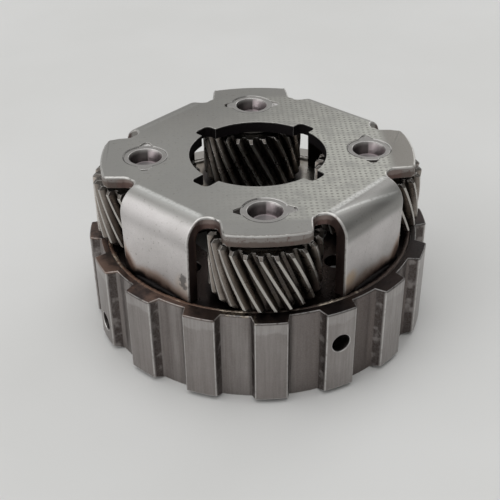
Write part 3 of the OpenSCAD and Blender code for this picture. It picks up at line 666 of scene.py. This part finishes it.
def on_outer_skin(face):
    """True for the faces that were the upper side of the flat blank."""
    middle = face.calc_center_median()
    slant = Vector((math.copysign(DIAGONAL, middle.x), math.copysign(DIAGONAL, middle.y), 0.0))
    return face.normal.z > 0.1 or face.normal.dot(slant) > 0.985


def drawn_edge(edge):
    """True for the outline of the blank, whose upper edge the press tool has drawn round."""
    middle = (edge.verts[0].co + edge.verts[1].co) / 2
    far = Vector((middle.x, middle.y)).length
    sides = sorted((abs(middle.x), abs(middle.y)))
    from_pin = math.hypot(sides[1] - PIN_CIRCLE, sides[0])
    skins = sum(on_outer_skin(face) for face in edge.link_faces)
    return skins == 1 and far > WINDOW_REACH and from_pin > STAKE_REACH


cage = eased_copy("carrier_cage", "pressed_cage", SHEAR_EASE, 1, drawn_edge, DRAWN_EASE, 3)
cage.data.materials.append(cage_finish)
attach(cage, "carrier")
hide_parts("carrier_cage")


# Weld beads
# A continuous bead ties the base plate to the drum, and a short bead runs along the foot of each leg.
# The beads are lumpy and rippled, dark brown to black from the heat; at the legs' feet their black is
# partly painted shadow.
WELD_DARK = (0.058, 0.047, 0.042, 1.0)
WELD_RUST = (0.150, 0.094, 0.070, 1.0)
WELD_BARE = (0.460, 0.405, 0.330, 1.0)
BARE_LEFT = math.radians(-101.0)
BARE_RIGHT = math.radians(-67.5)
RING_RADIUS = 0.0444
RING_SIZE = 0.00085
RING_RIPPLES = 170
LEG_BEAD_REACH = 0.0421
LEG_BEAD_SIZE = 0.001
LEG_BEAD_HALF = 0.0082
BEAD_LIFT = 0.0001
FOOT_RADII = (0.0430, 0.0436)
RING_SIDES = 12
RING_STEPS = 850
RING_LUMPS = ((0.30, 240.0), (0.16, 800.0))
LEG_BEAD_SIDES = 28
LEG_BEAD_STEPS = 48
LEG_LUMPS = ((0.30, 500.0), (0.10, 1400.0))

weld_finish, tree, shader = new_finish("weld")
grain = put(tree, "ShaderNodeGroup", {"Stain Scale": 420.0, "Fleck Scale": 3000.0}, node_tree=steel_grain)
spot = put(tree, "ShaderNodeTexCoord").outputs["Object"]
where = put(tree, "ShaderNodeGroup", node_tree=drum_place)
bare = ramp(tree, cloud(tree, spot, 110.0, 3.0, 0.6), 0.58, 0.68)
for turn, spread in ((BARE_LEFT, 0.13), (BARE_RIGHT, 0.11)):
    off_turn = reckon(tree, "ABSOLUTE", reckon(tree, "SUBTRACT", where.outputs["Round"], turn))
    bare = reckon(tree, "MAXIMUM", bare, ramp(tree, off_turn, 0.4 * spread, spread, 1.0, 0.0))
axes = put(tree, "ShaderNodeSeparateXYZ", {0: spot})
tone = two_tone(tree, ramp(tree, axes.outputs["X"], -0.024, 0.004, 1.0, 0.15), WELD_DARK, WELD_RUST)
# at the legs' feet the bead is painted black: soot and painted shadow of the gap
on_leg_foot = ramp(tree, where.outputs["Radius"], *FOOT_RADII, 1.0, 0.0)
bare = times(tree, bare, reckon(tree, "SUBTRACT", 1.0, on_leg_foot))
tone = two_tone(tree, on_leg_foot, tone, SOOT_AND_SHADOW)
bare_share = times(tree, bare, ramp(tree, grain.outputs["Stain"], 0.0, 1.0, 0.25, 1.0))
tone = two_tone(tree, bare_share, tone, WELD_BARE)
tone = two_tone(tree, ramp(tree, axes.outputs["Y"], 0.012, 0.024), tone, RIM_CLEAN)
rough = ramp(tree, bare, 0.0, 1.0, 0.60, 0.34)
dress(tree, shader, tone, rough, 0.85, grain.outputs["Stain"], 0.35, 0.00015)


def finished_piece(shape, name, finish, body, slot, *nodes):
    """Closes a bmesh into a smooth piece that stands for its CAD nodes."""
    piece = bpy.data.objects.new(name, bpy.data.meshes.new(name))
    shape.to_mesh(piece.data)
    shape.free()
    piece.data.shade_smooth()
    piece.data.materials.append(finish)
    bpy.context.scene.collection.objects.link(piece)
    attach(piece, body)
    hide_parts(*nodes)


def lumpy(place, start, lumps):
    """How far a bead swells: its start, and lumps of a height each and a number per metre."""
    for rise, scale in lumps:
        start += rise * noise.noise(place * scale)
    return start


bead_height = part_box("hub_weld")[0].z + BEAD_LIFT
bead = bmesh.new()
bmesh.ops.create_circle(bead, segments=RING_SIDES, radius=RING_SIZE)
bmesh.ops.rotate(bead, verts=bead.verts[:], cent=(0.0, 0.0, 0.0),
                 matrix=Matrix.Rotation(math.pi / 2, 3, "X"))
bmesh.ops.translate(bead, verts=bead.verts[:], vec=(RING_RADIUS, 0.0, bead_height))
bmesh.ops.spin(bead, geom=bead.verts[:] + bead.edges[:], cent=(0.0, 0.0, 0.0), axis=(0.0, 0.0, 1.0),
               dvec=(0.0, 0.0, 0.0), angle=2 * math.pi, steps=RING_STEPS, use_merge=True)
bmesh.ops.remove_doubles(bead, verts=bead.verts[:], dist=0.000001)
bmesh.ops.recalc_face_normals(bead, faces=bead.faces[:])
for vert in bead.verts:
    turn = math.atan2(vert.co.y, vert.co.x)
    middle = Vector((RING_RADIUS * math.cos(turn), RING_RADIUS * math.sin(turn), bead_height))
    swell = lumpy(vert.co, 0.82, RING_LUMPS) + 0.05 * math.sin(RING_RIPPLES * turn)
    vert.co = middle + (vert.co - middle) * swell
finished_piece(bead, "hub_bead", weld_finish, "carrier", "weld", "hub_weld")

for number in (1, 2, 3, 4):
    low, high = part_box(f"leg_weld_{number}")
    middle = (low + high) / 2
    turn = math.atan2(middle.y, middle.x)
    out = Vector((math.cos(turn), math.sin(turn), 0.0))
    side = Vector((-out.y, out.x, 0.0))
    line = out * LEG_BEAD_REACH + Vector((0.0, 0.0, low.z + BEAD_LIFT))
    bead = bmesh.new()
    bmesh.ops.create_uvsphere(bead, u_segments=LEG_BEAD_SIDES, v_segments=LEG_BEAD_STEPS,
                              radius=LEG_BEAD_SIZE)
    for vert in bead.verts:
        end = abs(vert.co.z) / LEG_BEAD_SIZE
        vert.co.z = math.copysign(LEG_BEAD_HALF * end ** 1.6, vert.co.z)
    bmesh.ops.rotate(bead, verts=bead.verts[:], cent=(0.0, 0.0, 0.0),
                     matrix=Matrix.Rotation(math.pi / 2, 3, "X"))
    bmesh.ops.rotate(bead, verts=bead.verts[:], cent=(0.0, 0.0, 0.0),
                     matrix=Matrix.Rotation(turn, 3, "Z"))
    bmesh.ops.translate(bead, verts=bead.verts[:], vec=line)
    bmesh.ops.recalc_face_normals(bead, faces=bead.faces[:])
    for vert in bead.verts:
        middle = line + side * (vert.co - line).dot(side)
        vert.co = middle + (vert.co - middle) * lumpy(vert.co, 0.9, LEG_LUMPS)
    finished_piece(bead, f"leg_bead_{number}", weld_finish, "carrier", "weld", f"leg_weld_{number}")


# Planet pins
# Ground steel pins, one for each planet, pushed through the cage and the base plate and staked at the cage.
# Their upper ends are bright and turned, with a cup whose walls are oily and whose flat floor is dull.
# The cup walls carry painted light and shade by the way they face, and the floor's edge a painted
# highlight.
PIN_STEEL = (0.450, 0.438, 0.425, 1.0)
PIN_DARK = (0.265, 0.250, 0.243, 1.0)
CUP_FILM_LIT = (0.300, 0.256, 0.266, 1.0)
CUP_HIGHLIGHT = (0.520, 0.448, 0.464, 1.0)
CUP_SHADE = (0.098, 0.086, 0.086, 1.0)
CUP_DEEP_SHADE = (0.034, 0.031, 0.031, 1.0)
CUP_FLOOR = (0.215, 0.200, 0.202, 1.0)
FLOOR_HEIGHT = 0.04745
FLOOR_RADIUS = 0.0037
CUP_RADII = (0.0043, 0.0049)
CUP_HEIGHTS = (0.0400, 0.0420)
PIN_EASE = 0.00014
PIN_RING = (0.40, 0.39, 0.37, 1.0)
PIN_RUBBED = (0.66, 0.65, 0.64, 1.0)

pin_finish, tree, shader = new_finish("pin_steel")
where = put(tree, "ShaderNodeGroup", node_tree=planet_place)
grain = put(tree, "ShaderNodeGroup", {"Stain Scale": 300.0, "Fleck Scale": 3000.0}, node_tree=steel_grain)
ring_spot = put(tree, "ShaderNodeCombineXYZ", {"X": where.outputs["Radius"], "Y": where.outputs["Height"]})
rings = cloud(tree, ring_spot.outputs[0], 5200.0, 2.0, 0.5)
tone = two_tone(tree, times(tree, grain.outputs["Stain"], 0.5), PIN_STEEL, PIN_DARK)
tone = two_tone(tree, ramp(tree, rings, 0.35, 0.65, 0.0, 0.25), tone, PIN_RING)
cup = times(tree, ramp(tree, where.outputs["Radius"], *CUP_RADII, 1.0, 0.0),
            ramp(tree, where.outputs["Height"], *CUP_HEIGHTS))
facing = put(tree, "ShaderNodeSeparateXYZ", {0: put(tree, "ShaderNodeTexCoord").outputs["Normal"]})
# painted light and shade by facing: walls that face left, to the window, get the oily film and a painted
# highlight; walls that face right get painted shade, darkest where they face right squarely
cup_film_light_and_shade = two_tone(tree, ramp(tree, facing.outputs["X"], -0.66, -0.36), CUP_FILM_LIT, CUP_HIGHLIGHT)
cup_film_light_and_shade = two_tone(tree, ramp(tree, facing.outputs["X"], -0.17, -0.05), cup_film_light_and_shade, CUP_SHADE)
cup_film_light_and_shade = two_tone(tree, ramp(tree, facing.outputs["X"], 0.30, 0.70), cup_film_light_and_shade, CUP_DEEP_SHADE)
tone = two_tone(tree, times(tree, cup, 0.92), tone, cup_film_light_and_shade)
near_floor = reckon(tree, "SUBTRACT", where.outputs["Height"], FLOOR_HEIGHT)
on_floor = times(tree, ramp(tree, facing.outputs["Z"], 0.80, 0.95),
                 ramp(tree, near_floor, 0.0002, 0.0006, 1.0, 0.0))
# painted highlight round the edge of the cup's floor
floor_edge_highlight = ramp(tree, where.outputs["Radius"], FLOOR_RADIUS - 0.0008, FLOOR_RADIUS - 0.0003)
floor_tone = two_tone(tree, times(tree, floor_edge_highlight, 0.5), CUP_FLOOR, CUP_HIGHLIGHT)
tone = two_tone(tree, on_floor, tone, floor_tone)
tone = two_tone(tree, times(tree, grain.outputs["Rubbed"], 0.5), tone, PIN_RUBBED)
rough = ramp(tree, grain.outputs["Stain"], 0.0, 1.0, 0.30, 0.42)
dress(tree, shader, tone, rough, ramp(tree, on_floor, 0.0, 1.0, 1.0, 0.30), rings, 0.18, 0.00008)

for number in (1, 2, 3, 4):
    pin = eased_copy(f"planet_pin_{number}", f"staked_pin_{number}", PIN_EASE)
    pin.data.materials.append(pin_finish)
    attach(pin, "carrier")
    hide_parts(f"planet_pin_{number}")


# Needle rollers and washers
# Each planet runs on a full set of hardened needle rollers, between one steel and one bronze thrust washer
# at each end. They are polished by running and coated in a film of oil.
BRONZE = (0.430, 0.290, 0.160, 1.0)
BRONZE_DARK = (0.190, 0.120, 0.065, 1.0)
WASHER_STEEL = (0.45, 0.44, 0.42, 1.0)

roller_finish, tree, shader = new_finish("roller_steel")
grain = put(tree, "ShaderNodeGroup", {"Stain Scale": 500.0, "Fleck Scale": 4000.0}, node_tree=steel_grain)
tone = two_tone(tree, times(tree, grain.outputs["Stain"], 0.4), PIN_STEEL, PIN_DARK)
dress(tree, shader, tone, ramp(tree, grain.outputs["Fleck"], 0.0, 1.0, 0.16, 0.26))


def ringed_finish(name, bright, dark, stained):
    """Metal that is turned and run in fine rings round the axis of its pin."""
    finish, tree, shader = new_finish(name)
    where = put(tree, "ShaderNodeGroup", node_tree=planet_place)
    grain = put(tree, "ShaderNodeGroup", {"Stain Scale": 260.0, "Fleck Scale": 2600.0},
                node_tree=steel_grain)
    ring_spot = put(tree, "ShaderNodeCombineXYZ", {"X": where.outputs["Radius"]})
    rings = cloud(tree, ring_spot.outputs[0], 4200.0, 2.0)
    tone = two_tone(tree, times(tree, grain.outputs["Stain"], stained), bright, dark)
    tone = two_tone(tree, ramp(tree, rings, 0.35, 0.65, 0.0, 0.3), tone, dark)
    dress(tree, shader, tone, ramp(tree, rings, 0.3, 0.7, 0.28, 0.42))
    return finish


bronze_finish = ringed_finish("bronze", BRONZE, BRONZE_DARK, 0.6)
washer_finish = ringed_finish("washer_steel", WASHER_STEEL, PIN_DARK, 0.5)

for number in (1, 2, 3, 4):
    for label, finish in (("needle_rollers", roller_finish), ("steel_washer_upper", washer_finish),
                          ("steel_washer_lower", washer_finish), ("bronze_washer_upper", bronze_finish),
                          ("bronze_washer_lower", bronze_finish)):
        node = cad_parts[f"{label}_{number}"]
        node.data.materials.clear()
        node.data.materials.append(finish)


# Planet gears
# Four helical planets, hobbed, hardened and shaved. The tooth tips are bright from turning and running, the
# flanks near them too. The roots and chamfered ends keep a dark brown film of gearbox oil, and both are
# painted darker as shade: the roots between the teeth, the ends under the cage and over the base.
TOOTH_EASE = 0.00007
FLANK_RADII = (0.0135, 0.0151)
TIP_RADII = (0.01525, 0.01542)
UPPER_END = (0.0449, 0.0451)
LOWER_END = (0.0291, 0.0293)
TOOTH_TIP = (0.460, 0.440, 0.410, 1.0)
TOOTH_FLANK = (0.330, 0.290, 0.258, 1.0)
TOOTH_ROOT_SHADE = (0.040, 0.033, 0.029, 1.0)
TOOTH_OIL = (0.10, 0.075, 0.055, 1.0)
TOOTH_END_OIL_AND_SHADE = (0.088, 0.078, 0.070, 1.0)
TOOTH_FLECK = (0.42, 0.40, 0.37, 1.0)

gear_finish, tree, shader = new_finish("gear_steel")
where = put(tree, "ShaderNodeGroup", node_tree=planet_place)
grain = put(tree, "ShaderNodeGroup", {"Stain Scale": 320.0, "Fleck Scale": 3200.0}, node_tree=steel_grain)
# the roots are painted dark as shade between the teeth; the flank tone shows only near the tips
flank = ramp(tree, where.outputs["Radius"], *FLANK_RADII)
tip = ramp(tree, where.outputs["Radius"], *TIP_RADII)
tone = two_tone(tree, flank, TOOTH_ROOT_SHADE, TOOTH_FLANK)
tone = two_tone(tree, times(tree, grain.outputs["Stain"], 0.32), tone, TOOTH_OIL)
tone = two_tone(tree, tip, tone, TOOTH_TIP)
# the ends of the teeth: oil film and painted shade
upper_end = ramp(tree, where.outputs["Height"], *UPPER_END)
lower_end = ramp(tree, where.outputs["Height"], *LOWER_END, 1.0, 0.0)
tone = two_tone(tree, reckon(tree, "ADD", upper_end, lower_end), tone, TOOTH_END_OIL_AND_SHADE)
tone = two_tone(tree, times(tree, grain.outputs["Fleck"], 0.15), tone, TOOTH_FLECK)
tone = two_tone(tree, times(tree, grain.outputs["Rubbed"], 0.4), tone, RUBBED_STEEL)
rough = ramp(tree, grain.outputs["Stain"], 0.0, 1.0, 0.26, 0.38)
dress(tree, shader, tone, rough, 1.0, grain.outputs["Fleck"], 0.15, 0.00008)

for number in (1, 2, 3, 4):
    gear = eased_copy(f"planet_gear_{number}", f"helical_planet_{number}", TOOTH_EASE, 1)
    gear.data.materials.append(gear_finish)
    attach(gear, f"planet_{number}")
    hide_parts(f"planet_gear_{number}")
